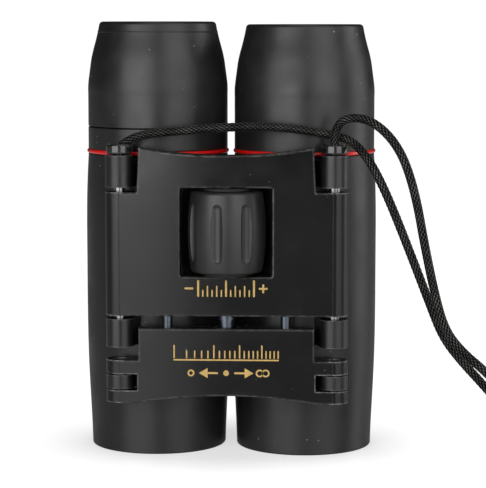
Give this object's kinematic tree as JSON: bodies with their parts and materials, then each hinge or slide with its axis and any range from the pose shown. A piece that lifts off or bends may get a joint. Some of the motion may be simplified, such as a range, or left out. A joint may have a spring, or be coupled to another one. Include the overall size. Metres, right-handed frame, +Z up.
{
  "type": "folding binoculars",
  "caption": "Compact folding roof-prism binoculars with twin hinges, a fluted focus wheel, a dioptre eyecup and a braided neck cord.",
  "frame": {"origin": "middle of the underside of the object's box, neck cord left out", "axes": "+Z up from the objective rims to the eyecups, -Y towards the front of the hinge plates, +X to the right seen from the front"},
  "size_m": [0.1362, 0.059, 0.095],
  "materials": {
    "rubber_armour": "matte moulded rubber",
    "eyecup_rubber": "matte moulded rubber, a little lighter",
    "barrel_moulding": "satin black moulding",
    "red_trim": "glossy red",
    "optic_black": "flat black inside finish",
    "black_anodised": "black anodised",
    "objective_black": "satin black",
    "coated_glass": "coated optical glass",
    "clear_glass": "clear optical glass",
    "spring_steel": "bright",
    "plate_black": "fine-grained matte black, bright at worn edges",
    "lug_black": "glossy black",
    "pin_chrome": "polished",
    "brass": "turned",
    "wheel_rubber": "dark grey moulded rubber",
    "bright_steel": "turned and polished",
    "cord_nylon": "braided black nylon",
    "tie_plastic": "black strip"
  },
  "bodies": {
    "bridge": {"bridge_plate": "plate_black", "upper_hinge_pins": "pin_chrome", "left_cord_lug": "lug_black", "right_cord_lug": "lug_black", "shaft_bushes": "brass", "wheel_washers": "pin_chrome", "cord_left_lead": "cord_nylon", "cord_right_lead": "cord_nylon", "cord_coil": "cord_nylon", "cord_tie": "tie_plastic"},
    "focus_wheel": {"wheel_grip": "wheel_rubber", "focus_screw": "bright_steel"},
    "focus_bridge": {"focus_plate": "plate_black", "focus_nut": "brass", "guide_rods": "bright_steel", "lower_hinge_pins": "pin_chrome"},
    "left_barrel": {"left_tube": "barrel_moulding", "left_armour": "rubber_armour", "left_red_ring": "red_trim", "left_prism_holder": "optic_black", "left_lower_prism": "clear_glass", "left_roof_prism": "clear_glass", "left_prism_clip": "spring_steel", "left_collar": "barrel_moulding"},
    "right_barrel": {"right_tube": "barrel_moulding", "right_armour": "rubber_armour", "right_red_ring": "red_trim", "right_prism_holder": "optic_black", "right_lower_prism": "clear_glass", "right_roof_prism": "clear_glass", "right_prism_clip": "spring_steel", "right_eyepiece_sleeve": "optic_black", "right_eyecup": "eyecup_rubber", "right_eyepiece_cell": "black_anodised", "right_field_lens": "clear_glass", "right_lens_spacer": "optic_black", "right_eye_lens": "coated_glass"},
    "left_diopter": {"left_eyecup": "eyecup_rubber", "left_eyepiece_sleeve": "optic_black"},
    "left_eyepiece": {"left_eyepiece_cell": "black_anodised", "left_field_lens": "clear_glass", "left_lens_spacer": "optic_black", "left_eye_lens": "coated_glass"},
    "left_objective": {"left_objective_tube": "objective_black", "left_objective_front_lens": "coated_glass", "left_objective_rear_lens": "clear_glass", "left_objective_ring": "black_anodised"},
    "right_objective": {"right_objective_tube": "objective_black", "right_objective_front_lens": "coated_glass", "right_objective_rear_lens": "clear_glass", "right_objective_ring": "black_anodised"}
  },
  "joints": [
    {"name": "left_hinge", "type": "hinge", "parent": "bridge", "child": "left_barrel", "pos_m": [-0.0232, -0.01335, 0.045], "axis": [0, 0, 1], "range_deg": [0, 75]},
    {"name": "right_hinge", "type": "hinge", "parent": "bridge", "child": "right_barrel", "pos_m": [0.0232, -0.01335, 0.045], "axis": [0, 0, -1], "range_deg": [0, 75]},
    {"name": "focus_turn", "type": "hinge", "parent": "bridge", "child": "focus_wheel", "pos_m": [0, -0.01335, 0.05], "axis": [0, 0, 1], "range_deg": [-360, 360]},
    {"name": "focus_slide", "type": "slide", "parent": "bridge", "child": "focus_bridge", "axis": [0, 0, 1], "range_m": [-0.00152, 0.00152]},
    {"name": "left_objective_slide", "type": "slide", "parent": "left_barrel", "child": "left_objective", "axis": [0, 0, 1], "range_m": [-0.00152, 0.00152]},
    {"name": "right_objective_slide", "type": "slide", "parent": "right_barrel", "child": "right_objective", "axis": [0, 0, 1], "range_m": [-0.00152, 0.00152]},
    {"name": "diopter_turn", "type": "hinge", "parent": "left_barrel", "child": "left_diopter", "pos_m": [-0.0164, 0.00565, 0.08], "axis": [0, 0, 1], "range_deg": [-60, 60]},
    {"name": "left_eyepiece_slide", "type": "slide", "parent": "left_barrel", "child": "left_eyepiece", "axis": [0, 0, 1], "range_m": [-0.00082, 0.00082]}
  ],
  "couplings": [
    {"joint": "focus_slide", "follows": "focus_turn", "m_per_rad": 0.00023873},
    {"joint": "left_objective_slide", "follows": "focus_turn", "m_per_rad": 0.00023873},
    {"joint": "right_objective_slide", "follows": "focus_turn", "m_per_rad": 0.00023873},
    {"joint": "left_eyepiece_slide", "follows": "diopter_turn", "m_per_rad": 0.00076394}
  ]
}
